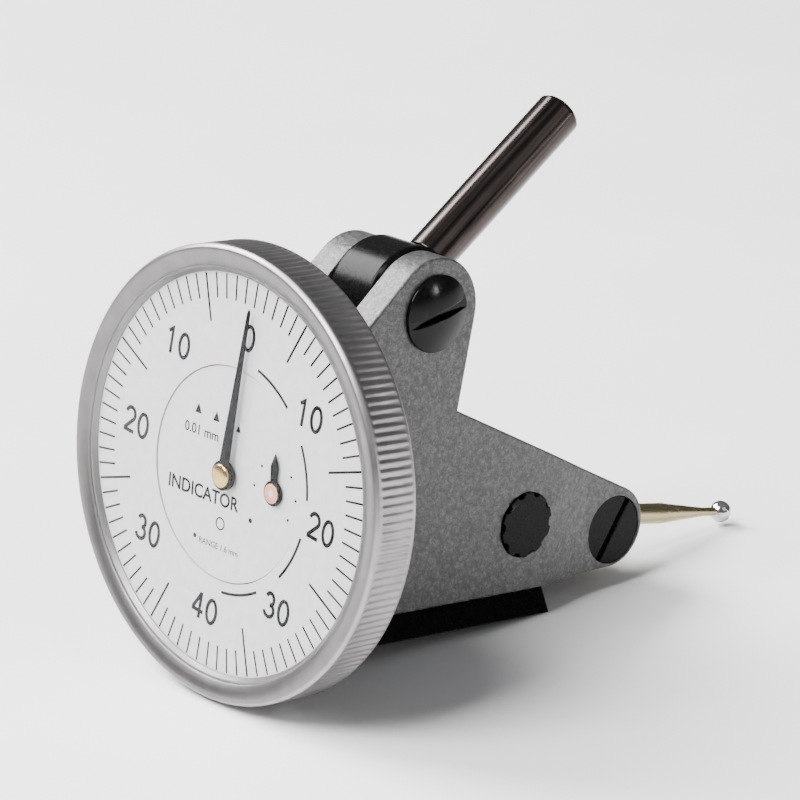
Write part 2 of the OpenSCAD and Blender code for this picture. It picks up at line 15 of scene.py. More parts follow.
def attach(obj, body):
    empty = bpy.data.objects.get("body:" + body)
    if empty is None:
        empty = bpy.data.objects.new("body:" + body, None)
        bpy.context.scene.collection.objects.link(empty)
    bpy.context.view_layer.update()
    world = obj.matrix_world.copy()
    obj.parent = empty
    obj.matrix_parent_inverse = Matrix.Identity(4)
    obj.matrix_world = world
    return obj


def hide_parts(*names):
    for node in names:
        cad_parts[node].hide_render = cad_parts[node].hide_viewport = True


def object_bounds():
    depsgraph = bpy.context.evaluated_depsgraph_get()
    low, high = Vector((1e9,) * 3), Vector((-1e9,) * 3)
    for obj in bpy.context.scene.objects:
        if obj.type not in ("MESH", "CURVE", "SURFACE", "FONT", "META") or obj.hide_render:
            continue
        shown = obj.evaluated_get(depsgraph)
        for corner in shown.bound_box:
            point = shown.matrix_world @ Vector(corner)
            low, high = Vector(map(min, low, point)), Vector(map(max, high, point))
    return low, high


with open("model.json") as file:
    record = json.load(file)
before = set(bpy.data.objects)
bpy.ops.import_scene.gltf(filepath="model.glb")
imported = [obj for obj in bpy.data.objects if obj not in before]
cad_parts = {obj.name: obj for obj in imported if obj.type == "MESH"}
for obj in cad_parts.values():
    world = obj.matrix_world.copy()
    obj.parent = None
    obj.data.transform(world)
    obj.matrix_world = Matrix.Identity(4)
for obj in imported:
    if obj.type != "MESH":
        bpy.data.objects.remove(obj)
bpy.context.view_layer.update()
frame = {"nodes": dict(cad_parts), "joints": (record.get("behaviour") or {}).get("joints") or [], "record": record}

# ---- The instrument's own frame ---------------------------------------------------------------

MM = 0.001
JOINTS = {joint["name"]: joint for joint in frame["joints"]}


def instrument_frame():
    """The matrix from instrument millimetres to row metres, on the bezel's axis."""
    along = Vector(JOINTS["bezel_turn"]["axis"]).normalized()
    across = Vector((0, 1, 0))
    up = along.cross(across)
    turn = Matrix((along, across, up)).transposed().to_4x4()
    return Matrix.Translation(JOINTS["bezel_turn"]["pos_m"]) @ turn @ Matrix.Scale(MM, 4)


PLACE = instrument_frame()
FROM_ROW = PLACE.inverted()


def local_box(node):
    """Lowest and highest corner of a CAD node in instrument millimetres."""
    points = [FROM_ROW @ vertex.co for vertex in frame["nodes"][node].data.vertices]
    low = Vector(min(p[i] for p in points) for i in range(3))
    high = Vector(max(p[i] for p in points) for i in range(3))
    return low, high


def joint_point(name):
    """Where a joint's axis is, in instrument millimetres."""
    return FROM_ROW @ Vector(JOINTS[name]["pos_m"])


def on_face(level):
    """From (right, up, towards the viewer) on the dial's face at depth level, to the row frame."""
    axes = Matrix(((0, 0, -1), (-1, 0, 0), (0, 1, 0))).to_4x4()
    return PLACE @ Matrix.Translation((level, 0, 0)) @ axes


def axis_frame(at, along):
    """A matrix from millimetres about a point, with Z along a direction, to the row frame."""
    turn = along.normalized().to_track_quat("Z", "Y").to_matrix().to_4x4()
    return PLACE @ Matrix.Translation(at) @ turn


# ---- Materials --------------------------------------------------------------------------------


def add(tree, kind, inputs=None, **settings):
    """A shader node with its settings, its input values and its links."""
    made = tree.nodes.new("ShaderNode" + kind)
    for key, value in settings.items():
        setattr(made, key, value)
    for key, value in (inputs or {}).items():
        if isinstance(value, bpy.types.NodeSocket):
            tree.links.new(value, made.inputs[key])
        else:
            made.inputs[key].default_value = value
    return made


def new_material(name):
    """A material, its node tree and its Principled shader."""
    material = bpy.data.materials.new(name)
    material.use_nodes = True
    return material, material.node_tree, material.node_tree.nodes["Principled BSDF"]


def millimetres(tree, space=PLACE, stretch=(1, 1, 1)):
    """The surface point in a space's millimetres, then stretched."""
    back = space.inverted()
    point = add(tree, "TexCoord").outputs["Object"]
    size = back.to_scale()
    local = add(tree, "Mapping", {
        "Vector": point,
        "Location": back.translation,
        "Rotation": back.to_euler(),
        "Scale": size,
    }).outputs["Vector"]
    if tuple(stretch) == (1, 1, 1):
        return local
    return add(tree, "Mapping", {"Vector": local, "Scale": stretch}).outputs["Vector"]


def noise(tree, point, scale, detail=3.0, rough=0.55):
    """A noise value from 0 to 1 with features of about 1 / scale millimetres."""
    inputs = {"Vector": point, "Scale": scale, "Detail": detail, "Roughness": rough}
    return add(tree, "TexNoise", inputs).outputs["Fac"]


def ramp(tree, value, *stops):
    """A colour ramp with (position, colour) stops."""
    made = add(tree, "ValToRGB", {"Fac": value})
    elements = made.color_ramp.elements
    while len(elements) < len(stops):
        elements.new(0.5)
    for element, (position, colour) in zip(elements, stops):
        element.position = position
        element.color = (*colour, 1)
    return made.outputs["Color"]


def spread(tree, value, low, high, start=0.3, end=0.7):
    """A noise value taken from its usual range to low..high."""
    return add(tree, "MapRange", {
        "Value": value, "From Min": start, "From Max": end, "To Min": low, "To Max": high,
    }).outputs["Result"]


def calc(tree, operation, a, b=0.0):
    """One step of arithmetic."""
    return add(tree, "Math", {0: a, 1: b}, operation=operation).outputs["Value"]


def bump(tree, height, depth, normal=None):
    """A bump of a depth in millimetres."""
    inputs = {"Height": height, "Distance": depth * MM, "Strength": 1.0}
    if normal:
        inputs["Normal"] = normal
    return add(tree, "Bump", inputs).outputs["Normal"]


def connect(tree, shader, **sockets):
    """Links sockets to the shader's inputs, named with underscores for spaces."""
    for key, value in sockets.items():
        tree.links.new(value, shader.inputs[key.replace("_", " ")])


def edge_share(tree):
    """1 on worn convex edges and 0 on flat stretches."""
    pointy = add(tree, "NewGeometry").outputs["Pointiness"]
    return spread(tree, pointy, 0.0, 1.0, 0.56, 0.68)


COLOUR_A, COLOUR_B, COLOUR_OUT = 6, 7, 2


def mixed(tree, share, first, second, blend="MIX"):
    """Two colours mixed: the second one has the share."""
    inputs = {"Factor": share, COLOUR_A: first, COLOUR_B: second}
    made = add(tree, "Mix", inputs, data_type="RGBA", blend_type=blend)
    return made.outputs[COLOUR_OUT]


def paint():
    """Grey hammertone enamel: shallow cells, dark veins and fine metal flakes."""
    material, tree, shader = new_material("hammertone_paint")
    point = millimetres(tree)
    warp = add(tree, "TexNoise", {"Vector": point, "Scale": 1.1, "Detail": 2.0}).outputs["Color"]
    bent = add(tree, "VectorMath", {0: point, 1: warp}, operation="ADD").outputs["Vector"]
    cells = add(tree, "TexVoronoi", {"Vector": bent, "Scale": 2.2}, feature="SMOOTH_F1")
    distance = cells.outputs["Distance"]
    flakes = noise(tree, point, 6.5, 2.0, 0.7)
    cloud = noise(tree, point, 0.35, 2.0)
    cell_part = calc(tree, "MULTIPLY", distance, 0.45)
    flake_part = calc(tree, "MULTIPLY", flakes, 0.75)
    colour = ramp(
        tree, calc(tree, "ADD", cell_part, flake_part),
        (0.34, (0.118, 0.115, 0.115)),
        (0.52, (0.070, 0.068, 0.068)),
        (0.70, (0.040, 0.039, 0.039)),
    )
    shade = ramp(tree, cloud, (0.3, (0.88, 0.88, 0.88)), (0.7, (1.0, 1.0, 1.0)))
    relief = bump(tree, distance, 0.05, bump(tree, flakes, 0.02))
    shader.inputs["Metallic"].default_value = 0.35
    shader.inputs["Coat Weight"].default_value = 0.15
    shader.inputs["Coat Roughness"].default_value = 0.3
    connect(
        tree, shader,
        Base_Color=mixed(tree, 1.0, colour, shade, "MULTIPLY"),
        Roughness=spread(tree, flakes, 0.36, 0.58),
        Normal=relief,
    )
    return material


def turned_metal(name, dark, light, rough, painted_shade_r=0.0):
    """Metal with the fine rings that a lathe leaves about the dial's axis.

    With a radius in millimetres given, the metal inside that radius is painted darker than outside it: painted
    shade, not a different finish.
    """
    material, tree, shader = new_material(name)
    point = millimetres(tree)
    parts = add(tree, "SeparateXYZ", {"Vector": point})
    y, z = parts.outputs["Y"], parts.outputs["Z"]
    square = calc(tree, "ADD", calc(tree, "MULTIPLY", y, y), calc(tree, "MULTIPLY", z, z))
    radius = calc(tree, "SQRT", square)
    rings = add(tree, "CombineXYZ", {"X": parts.outputs["X"], "Y": radius}).outputs["Vector"]
    lathe = noise(tree, rings, 9.0, 2.0, 0.6)
    cloud = noise(tree, point, 0.5, 3.0)
    colour = ramp(tree, cloud, (0.3, dark), (0.7, light))
    if painted_shade_r:
        # Painted shade: inside the radius the colour drops to half, standing in for the shade on the bezel's front
        # face and tension ring.
        shade = spread(tree, radius, 0.5, 1.0, painted_shade_r - 0.16, painted_shade_r)
        colour = mixed(tree, 1.0, colour, shade, "MULTIPLY")
    shader.inputs["Metallic"].default_value = 1.0
    connect(
        tree, shader,
        Base_Color=colour,
        Roughness=spread(tree, lathe, rough - 0.05, rough + 0.07),
        Normal=bump(tree, lathe, 0.004),
    )
    return material


def drawn_metal(name, dark, light, rough, space, streak=3.0):
    """Metal polished or drawn along a space's Z axis, with long thin streaks."""
    material, tree, shader = new_material(name)
    point = millimetres(tree, space, (streak, streak, 0.02 * streak))
    grain = noise(tree, point, 1.0, 4.0, 0.6)
    cloud = noise(tree, millimetres(tree, space), 0.3, 2.0)
    grain_part = calc(tree, "MULTIPLY", grain, 0.8)
    tone = calc(tree, "ADD", grain_part, calc(tree, "MULTIPLY", cloud, 0.2))
    shader.inputs["Metallic"].default_value = 1.0
    connect(
        tree, shader,
        Base_Color=ramp(tree, tone, (0.35, dark), (0.65, light)),
        Roughness=spread(tree, grain, rough - 0.06, rough + 0.08),
        Normal=bump(tree, grain, 0.002),
    )
    return material


def black_oxide(name, shine, rough):
    """Black-oxide steel: a dull skin, a little brown, rubbed lighter along its edges."""
    material, tree, shader = new_material(name)
    point = millimetres(tree)
    grain = noise(tree, point, 3.0, 4.0, 0.6)
    skin = ramp(tree, grain, (0.3, (0.002, 0.002, 0.002)), (0.7, (0.005, 0.0047, 0.0045)))
    wear = calc(tree, "MULTIPLY", edge_share(tree), spread(tree, noise(tree, point, 1.2), 0.0, 1.0))
    shader.inputs["Specular IOR Level"].default_value = shine
    connect(
        tree, shader,
        Base_Color=mixed(tree, wear, skin, (0.10, 0.095, 0.088, 1)),
        Metallic=calc(tree, "MULTIPLY", wear, 0.8),
        Roughness=spread(tree, grain, rough, rough + 0.12),
        Normal=bump(tree, grain, 0.004),
    )
    return material


def enamel(name, dark, light, rough, shine=0.5):
    """A smooth painted or printed surface with a faint mottle."""
    material, tree, shader = new_material(name)
    shader.inputs["Specular IOR Level"].default_value = shine
    point = millimetres(tree)
    cloud = noise(tree, point, 1.2, 4.0)
    fine = noise(tree, point, 9.0, 2.0)
    connect(
        tree, shader,
        Base_Color=ramp(tree, cloud, (0.3, dark), (0.7, light)),
        Roughness=spread(tree, fine, rough - 0.05, rough + 0.07),
        Normal=bump(tree, fine, 0.002),
    )
    return material


def clear_plastic():
    """The domed crystal: clear acrylic that mirrors a little, more at the edge of view."""
    material, tree, shader = new_material("crystal_acrylic")
    haze = noise(tree, millimetres(tree), 0.25, 3.0)
    shader.inputs["Metallic"].default_value = 1.0
    shader.inputs["Base Color"].default_value = (0.95, 0.97, 1.0, 1)
    connect(tree, shader, Roughness=spread(tree, haze, 0.02, 0.06))
    through = add(tree, "BsdfTransparent", {"Color": (0.985, 0.985, 0.985, 1)})
    facing = add(tree, "LayerWeight", {"Blend": 0.5}).outputs["Facing"]
    glance = calc(tree, "POWER", facing, 5.0)
    share = spread(tree, glance, 0.006, 0.9, 0.0, 1.0)
    both = add(tree, "MixShader", {0: share, 1: through.outputs[0], 2: shader.outputs[0]})
    tree.links.new(both.outputs[0], tree.nodes["Material Output"].inputs["Surface"])
    return material


def jewel():
    """Synthetic ruby for the crown arbor's bearings."""
    material, tree, shader = new_material("ruby")
    cloud = noise(tree, millimetres(tree), 1.5, 3.0)
    shader.inputs["Transmission Weight"].default_value = 0.5
    shader.inputs["IOR"].default_value = 1.76
    connect(
        tree, shader,
        Base_Color=ramp(tree, cloud, (0.3, (0.35, 0.0, 0.03)), (0.7, (0.6, 0.01, 0.08))),
        Roughness=spread(tree, cloud, 0.04, 0.1),
    )
    return material


GAP = 0.01
KNURL_DEPTH = 0.13
BEZEL_R = local_box("bezel")[1].y
stem_high = local_box("stem")[1]
swivel = joint_point("stem_swivel")
lever = joint_point("lever_swing")
ball_low, ball_high = local_box("stylus_ball")
ball = (ball_low + ball_high) / 2
STEM_SPACE = axis_frame(swivel, Vector((stem_high.x, 0, stem_high.z)) - swivel)
STYLUS_SPACE = axis_frame(lever, Vector((ball.x, 0, ball.z)) - lever)
BODY_SPACE = axis_frame(Vector((0, 0, 0)), Vector((1, 0, 0)))

FINISHES = {
    "body_paint": paint(),
    "black_oxide": black_oxide("black_oxide_steel", 0.07, 0.17),
    "stem_steel": drawn_metal(
        "polished_dark_steel", (0.030, 0.024, 0.022), (0.075, 0.062, 0.058), 0.2, STEM_SPACE),
    "steel": drawn_metal(
        "movement_steel", (0.48, 0.48, 0.49), (0.62, 0.62, 0.63), 0.28, BODY_SPACE),
    "spring_steel": drawn_metal(
        "blued_spring", (0.08, 0.11, 0.2), (0.14, 0.18, 0.3), 0.25, BODY_SPACE),
    "brass": turned_metal("brass", (0.52, 0.34, 0.11), (0.64, 0.44, 0.17), 0.24),
    "jewel": jewel(),
    "dial_white": enamel("dial_enamel", (0.55, 0.53, 0.534), (0.61, 0.592, 0.596), 0.42),
    # The bezel's front face and tension ring, inside the knurled band, get painted shade.
    "bezel_satin": turned_metal(
        "satin_chrome", (0.29, 0.28, 0.277), (0.37, 0.356, 0.352), 0.36,
        BEZEL_R - KNURL_DEPTH - GAP),
    "crystal": clear_plastic(),
    "hand_black": enamel("black_lacquer", (0.002, 0.002, 0.002), (0.004, 0.004, 0.004), 0.5, 0.05),
    "copper": turned_metal("copper_boss", (0.56, 0.25, 0.16), (0.68, 0.34, 0.24), 0.24),
    "stylus_steel": drawn_metal(
        "straw_steel", (0.35, 0.30, 0.16), (0.46, 0.40, 0.23), 0.27, STYLUS_SPACE, streak=5.0),
    "carbide": turned_metal("carbide_ball", (0.50, 0.50, 0.51), (0.66, 0.66, 0.67), 0.12),
}
NODE_SLOT = {part["node"]: part["material_slot"] for part in frame["record"]["subparts"]}
NODE_BODY = {
    node: body for body, nodes in frame["record"]["behaviour"]["bodies"].items() for node in nodes
}

for node_name, node_object in frame["nodes"].items():
    node_object.material_slots[0].material = FINISHES[NODE_SLOT[node_name]]


# ---- Making pieces ----------------------------------------------------------------------------


def in_scene(name, data):
    """An object of its data in the scene."""
    made = bpy.data.objects.new(name, data)
    bpy.context.scene.collection.objects.link(made)
    return made


def finished(name, mesh, slot, body, *stands_for):
    """Puts a mesh in the scene with its finish, its body and the CAD nodes it stands for."""
    piece = in_scene(name, mesh)
    mesh.materials.clear()
    mesh.materials.append(FINISHES[slot])
    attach(piece, body)
    if stands_for:
        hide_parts(*stands_for)
    return piece


def mesh_of(name, shape):
    """Turns a bmesh into a mesh."""
    mesh = bpy.data.meshes.new(name)
    shape.to_mesh(mesh)
    shape.free()
    return mesh


def smooth_shaded(mesh, sharp_degrees):
    """Smooth shading with edges sharper than an angle kept crisp."""
    for polygon in mesh.polygons:
        polygon.use_smooth = True
    mesh.set_sharp_from_angle(angle=math.radians(sharp_degrees))


WELD = 0.002
FLAT_DEGREES = 0.4
BEVEL_DEGREES = 30
SHARP_DEGREES = 35


def clean_copy(node):
    """A CAD node's mesh as a welded bmesh whose flat faces are whole."""
    shape = bmesh.new()
    shape.from_mesh(frame["nodes"][node].data)
    bmesh.ops.remove_doubles(shape, verts=shape.verts, dist=WELD * MM)
    bmesh.ops.dissolve_limit(
        shape, angle_limit=math.radians(FLAT_DEGREES), verts=shape.verts, edges=shape.edges)
    return shape


def rounded(node, name, width, keep=None, segments=3):
    """A CAD node's shape with its sharp edges rounded, which stands for the node.

    keep says, from an edge's middle in instrument millimetres, what share of the width it gets.
    """
    shape = clean_copy(node)
    weights = shape.edges.layers.float.new("bevel_weight_edge")
    for edge in shape.edges:
        if len(edge.link_faces) != 2 or edge.calc_face_angle(0) < math.radians(BEVEL_DEGREES):
            continue
        middle = FROM_ROW @ ((edge.verts[0].co + edge.verts[1].co) / 2)
        edge[weights] = keep(middle) if keep else 1.0
    mesh = mesh_of(name, shape)
    if "custom_normal" in mesh.attributes:
        mesh.attributes.remove(mesh.attributes["custom_normal"])
    smooth_shaded(mesh, SHARP_DEGREES)
    piece = finished(name, mesh, NODE_SLOT[node], NODE_BODY[node], node)
    bevel = piece.modifiers.new("rounded_edges", "BEVEL")
    bevel.width = width * MM
    bevel.segments = segments
    bevel.limit_method = "WEIGHT"
    bevel.use_clamp_overlap = False
    even = piece.modifiers.new("even_normals", "WEIGHTED_NORMAL")
    even.weight = 100
    even.keep_sharp = True
    return piece


# ---- Body and its fittings --------------------------------------------------------------------

plug = joint_point("sector_swing")
plug_high = local_box("bearing_plug_right")[1]
cap_high = local_box("pivot_bearing_right")[1]
PLUG_R = plug_high.x - plug.x
CAP_R = cap_high.x - lever.x
FLANGE_BACK = 4.3
CAVITY_HALF = 4.1
SWIVEL_EDGE_R = 1.7
NEAR = 0.1


def body_edge(middle):
    """Full rounding on the casting's outside, little at the bearings and slots, none inside."""
    x, y, z = middle
    if x < FLANGE_BACK + NEAR or abs(abs(y) - CAVITY_HALF) < NEAR:
        return 0.0
    from_lever = math.hypot(x - lever.x, z - lever.z)
    from_plug = math.hypot(x - plug.x, z - plug.z)
    from_swivel = math.hypot(x - swivel.x, z - swivel.z)
    at_bearing = abs(from_lever - CAP_R) < NEAR or abs(from_plug - PLUG_R) < NEAR
    if at_bearing or from_swivel < SWIVEL_EDGE_R:
        return 0.2
    return 0.4 if abs(y) < CAVITY_HALF else 1.0


rounded("housing", "body_casting", 0.2, body_edge, 4)
rounded("dovetail_rail", "dovetail_bar", 0.12)
rounded("rail_screws", "rail_screw_pair", 0.06)
rounded("swivel_barrel", "stem_barrel", 0.12)
rounded("stem", "mounting_stem", 0.1)
screw = rounded("clamp_screw", "clamp_screw_finished", 0.08)
screw.data.materials[0] = black_oxide("polished_oxide", 0.15, 0.1)
rounded("stylus_hub", "stylus_hub_finished", 0.12)
for side in ("left", "right"):
    rounded("bearing_plug_" + side, "bearing_cap_" + side, 0.06)
    rounded("pivot_bearing_" + side, "pivot_cap_" + side, 0.08)


# ---- Turned pieces ----------------------------------------------------------------------------


def around(radius, x, i, steps):
    """Vertex i of a ring about the dial axis, in the row frame."""
    angle = 2 * math.pi * i / steps
    return PLACE @ Vector((x, radius * math.cos(angle), radius * math.sin(angle)))


def join_rings(shape, first, second, steps):
    """Faces between two rings of vertices, where a ring on the axis is one vertex."""
    for i in range(steps):
        j = (i + 1) % steps
        corners = [first[i % len(first)], first[j % len(first)],
                   second[j % len(second)], second[i % len(second)]]
        unique = list(dict.fromkeys(corners))
        if len(unique) > 2:
            shape.faces.new(unique)


def turned_mesh(name, shape, sharp):
    """A closed, turned bmesh as a smooth shaded mesh."""
    bmesh.ops.recalc_face_normals(shape, faces=shape.faces)
    mesh = mesh_of(name, shape)
    smooth_shaded(mesh, sharp)
    return mesh


TURN_STEPS = 144


def turned(name, profile, slot, body, *stands_for, steps=TURN_STEPS, sharp=30):
    """A piece turned about the dial axis from (radius, x) points that start and end on it."""
    shape = bmesh.new()
    rings = []
    for radius, x in profile:
        count = steps if radius > 0 else 1
        rings.append([shape.verts.new(around(radius, x, i, steps)) for i in range(count)])
    for first, second in zip(rings, rings[1:]):
        join_rings(shape, first, second, steps)
    return finished(name, turned_mesh(name, shape, sharp), slot, body, *stands_for)


crystal_low, crystal_high = local_box("crystal")
BEZEL_BACK = local_box("bezel")[1].x
CRYSTAL_R = crystal_high.y
BEZEL_BORE = CRYSTAL_R + 0.36
CRYSTAL_SEAT = 1.3
CRYSTAL_EDGE = CRYSTAL_R - GAP
CRYSTAL_WALL = 0.39
CRYSTAL_THICK = 0.55
OUTER_RIM_X, INNER_RIM_X = 0.05, 0.33
KNURLS = 168
KNURL_WAVE = (0.0, 0.12, 0.75, 1.0, 0.75, 0.12)
DOME_STEPS = 14
MARK_OUTER = 16.6


def bezel_ring(name, shape, rings, sharp, node):
    """A ring of the bezel's group from rings of vertices, the last of which meets the first."""
    for first, second in zip(rings, rings[1:] + rings[:1]):
        join_rings(shape, first, second, len(first))
    return finished(name, turned_mesh(name, shape, sharp), "bezel_satin", "bezel_group", node)


def knurled_bezel():
    """The bezel ring with straight knurling round its band."""
    front = [
        (CRYSTAL_R, CRYSTAL_SEAT), (CRYSTAL_R, 0.34), (CRYSTAL_R + 0.08, 0.24),
        (BEZEL_R - 0.75, 0.03), (BEZEL_R - 0.6, 0.0), (BEZEL_R - 0.36, 0.0),
        (BEZEL_R - 0.3, 0.02), (BEZEL_R - 0.02, 0.3), (BEZEL_R, 0.38), (BEZEL_R, 0.62),
    ]
    band = [(BEZEL_R, 0.8), (BEZEL_R, BEZEL_BACK - 0.65)]
    back = [
        (BEZEL_R, BEZEL_BACK - 0.47), (BEZEL_R, BEZEL_BACK - 0.3),
        (BEZEL_R - 0.05, BEZEL_BACK - 0.2), (BEZEL_R - 0.2, BEZEL_BACK - 0.05),
        (BEZEL_R - 0.3, BEZEL_BACK), (BEZEL_BORE, BEZEL_BACK), (BEZEL_BORE, CRYSTAL_SEAT),
    ]
    steps = KNURLS * len(KNURL_WAVE)
    shape = bmesh.new()
    rings = []
    for points, depth in ((front, 0.0), (band, KNURL_DEPTH), (back, 0.0)):
        for radius, x in points:
            cuts = [depth * KNURL_WAVE[i % len(KNURL_WAVE)] for i in range(steps)]
            ring = [around(radius - cut, x, i, steps) for i, cut in enumerate(cuts)]
            rings.append([shape.verts.new(point) for point in ring])
    return bezel_ring("knurled_bezel", shape, rings, 40, "bezel")


def sloped_tension_ring():
    """The ring behind the crystal, with a face that slopes in to the graduations."""
    low, high = local_box("tension_ring")
    front, back = low.x + GAP, high.x - GAP
    lip, foot = 0.2, 0.1
    inner = MARK_OUTER + 0.1
    profile = [
        (high.y, front), (high.y - lip, front), (inner, back - foot), (inner, back), (high.y, back),
    ]
    shape = bmesh.new()
    rings = []
    for radius, x in profile:
        points = [around(radius, x, i, TURN_STEPS) for i in range(TURN_STEPS)]
        rings.append([shape.verts.new(point) for point in points])
    return bezel_ring("sloped_tension_ring", shape, rings, 30, "tension_ring")


def dome_points(half, top, rim):
    """(radius, x) points of a dome from its apex at x = top to its rim."""
    rise = rim - top
    sphere = (half * half + rise * rise) / (2 * rise)
    points = []
    for i in range(DOME_STEPS + 1):
        radius = half * i / DOME_STEPS
        points.append((radius, top + sphere - math.sqrt(sphere * sphere - radius * radius)))
    return points


def crystal_dome():
    """The crystal as a fine dome with a flat seat."""
    outer = dome_points(CRYSTAL_EDGE, crystal_low.x, OUTER_RIM_X)
    inner = dome_points(CRYSTAL_EDGE - CRYSTAL_WALL, crystal_low.x + CRYSTAL_THICK, INNER_RIM_X)
    profile = outer + [(CRYSTAL_EDGE, crystal_high.x)] + inner[::-1]
    return turned("crystal_dome", profile, "crystal", "bezel_group", "crystal", sharp=40)


def domed_boss():
    """The brass boss on the main hand, with its rounded face and its bore for the arbor."""
    low, high = local_box("hand_boss")
    arbor_r, arbor_tip = 0.35, 0.0
    crown_height = 0.26
    crown = []
    for degrees in range(0, 91, 10):
        angle = math.radians(degrees)
        drop = crown_height * (1 - math.cos(angle))
        crown.append((high.y * math.sin(angle), low.x + drop))
    profile = crown + [(high.y, high.x), (arbor_r, high.x), (arbor_r, arbor_tip), (0, arbor_tip)]
    return turned("domed_hand_boss", profile, "brass", "hand_group", "hand_boss", steps=48)


knurled_bezel()
sloped_tension_ring()
crystal_dome()
domed_boss()

# ---- Print on the dial ------------------------------------------------------------------------

PRINT = 0.014
DIVISIONS = 80
NUMBERS = (0, 10, 20, 30, 40, 30, 20, 10)
SHORT_INNER, LONG_INNER = 14.5, 12.6
NUMBER_R, ARC_R, COUNTER_DOTS_R = 11.9, 9.9, 2.55
NUMBER_HEIGHT, NUMBER_STROKE = 2.3, 0.34
LONG_WIDTH, SHORT_WIDTH, ARC_WIDTH = 0.2, 0.17, 0.24
DIGIT_PITCH = 0.74
CAPITAL_SIZE = 1.37
RING_FACE = local_box("dial_ring")[0].x
CENTRE_FACE = local_box("dial_centre")[0].x
COUNTER = joint_point("counter_turn")
counter_right = -COUNTER.y
hand_tip = max(
    (FROM_ROW @ vertex.co for vertex in frame["nodes"]["main_hand"].data.vertices),
    key=lambda p: math.hypot(p.y, p.z),
)
DIAL_TURN = math.atan2(-hand_tip.y, hand_tip.z)


def polar(radius, clockwise):
    """A point (right, up) at a clockwise angle from the top, in radians."""
    return Vector((radius * math.sin(clockwise), radius * math.cos(clockwise)))


def raise_outline(shape, points, matrix):
    """Adds a thin raised patch with the given (right, up) outline."""
    top = [shape.verts.new(matrix @ Vector((*p, PRINT))) for p in points]
    foot = [shape.verts.new(matrix @ Vector((*p, -PRINT / 2))) for p in points]
    shape.faces.new(top)
    for i in range(len(points)):
        j = (i + 1) % len(points)
        shape.faces.new([top[i], foot[i], foot[j], top[j]])
    shape.faces.new(foot[::-1])


def tick(shape, matrix, inner, outer, clockwise, width):
    """A radial mark."""
    side = polar(width / 2, clockwise + math.pi / 2)
    low, high = polar(inner, clockwise), polar(outer, clockwise)
    raise_outline(shape, [low - side, low + side, high + side, high - side], matrix)


def arc(shape, matrix, radius, start, end, width, steps=12, right=0.0, up=0.0):
    """A mark that follows a circle about (right, up) from one angle to another."""
    centre = Vector((right, up))
    inner, outer = radius - width / 2, radius + width / 2
    angles = [start + (end - start) * i / steps for i in range(steps + 1)]
    for first, second in zip(angles, angles[1:]):
        corners = ((inner, first), (inner, second), (outer, second), (outer, first))
        raise_outline(shape, [centre + polar(*corner) for corner in corners], matrix)


def dot(shape, matrix, right, up, radius, steps=16):
    """A round mark."""
    centre = Vector((right, up))
    rim = [centre + polar(radius, 2 * math.pi * i / steps) for i in range(steps)]
    raise_outline(shape, rim[::-1], matrix)


def stroke(shape, matrix, points, width):
    """A mark of even width along (right, up) points."""
    left, right = [], []
    for i, point in enumerate(points):
        before = (point - points[i - 1]).normalized() if i else (points[1] - point).normalized()
        after = (points[i + 1] - point).normalized() if i + 1 < len(points) else before
        along = (before + after).normalized()
        side = Vector((-along.y, along.x)) * (width / 2) / max(along.dot(before), 0.5)
        left.append(point + side)
        right.append(point - side)
    for i in range(len(points) - 1):
        raise_outline(shape, [right[i], right[i + 1], left[i + 1], left[i]], matrix)


def bow(centre, wide, high, start, end, steps=20):
    """Points on an ellipse between two clockwise angles from its top, in degrees."""
    found = []
    for i in range(steps + 1):
        angle = math.radians(start + (end - start) * i / steps)
        found.append(centre + Vector((wide * math.sin(angle), high * math.cos(angle))))
    return found


def digit_strokes(digit):
    """The strokes of a plain digit 1 high, centred on the origin."""
    if digit == "0":
        return [bow(Vector((0, 0)), 0.25, 0.44, 0, 360, 28)]
    if digit == "1":
        return [[Vector(p) for p in ((-0.17, 0.27), (0.04, 0.44), (0.04, -0.5))]]
    if digit == "2":
        curve = bow(Vector((0, 0.19)), 0.24, 0.25, -80, 125)
        return [curve + [Vector((-0.26, -0.42))], [Vector((-0.3, -0.44)), Vector((0.27, -0.44))]]
    if digit == "3":
        high = bow(Vector((-0.02, 0.21)), 0.2, 0.23, -70, 175)
        low = bow(Vector((-0.02, -0.2)), 0.25, 0.24, 5, 255)
        return [high, low]
    slant = [Vector((0.1, 0.46)), Vector((-0.28, -0.2))]
    bar = [Vector((-0.32, -0.22)), Vector((0.3, -0.22))]
    upright = [Vector((0.1, 0.5)), Vector((0.1, -0.5))]
    return [slant, bar, upright]


def numeral(shape, number, height, width, right, up, turn):
    """Digits side by side on the graduated ring, centred on (right, up) and turned clockwise."""
    spin = on_face(RING_FACE) @ Matrix.Translation((right, up, 0)) @ Matrix.Rotation(-turn, 4, "Z")
    digits = str(number)
    for i, digit in enumerate(digits):
        shift = Vector(((i - (len(digits) - 1) / 2) * DIGIT_PITCH, 0))
        for points in digit_strokes(digit):
            stroke(shape, spin, [(point + shift) * height for point in points], width)


def lettering(shape, matrix, words, height, right, up, bold=0.0):
    """Adds raised letters, centred on (right, up), from the plain built-in font."""
    curve = bpy.data.curves.new("letters", "FONT")
    curve.body = words
    curve.size = height * CAPITAL_SIZE
    curve.align_x = "CENTER"
    curve.align_y = "CENTER"
    curve.extrude = PRINT
    curve.offset = bold
    curve.resolution_u = 4
    holder = in_scene("letters", curve)
    bpy.context.view_layer.update()
    solid = holder.evaluated_get(bpy.context.evaluated_depsgraph_get())
    mesh = bpy.data.meshes.new_from_object(solid)
    mesh.transform(matrix @ Matrix.Translation((right, up, 0)))
    shape.from_mesh(mesh)
    bpy.data.meshes.remove(mesh)
    bpy.data.objects.remove(holder)
    bpy.data.curves.remove(curve)


def printed(name, shape, body):
    """Finishes a bmesh of raised print as a black piece."""
    bmesh.ops.remove_doubles(shape, verts=shape.verts, dist=0.0005 * MM)
    bmesh.ops.recalc_face_normals(shape, faces=shape.faces)
    return finished(name, mesh_of(name, shape), "hand_black", body)


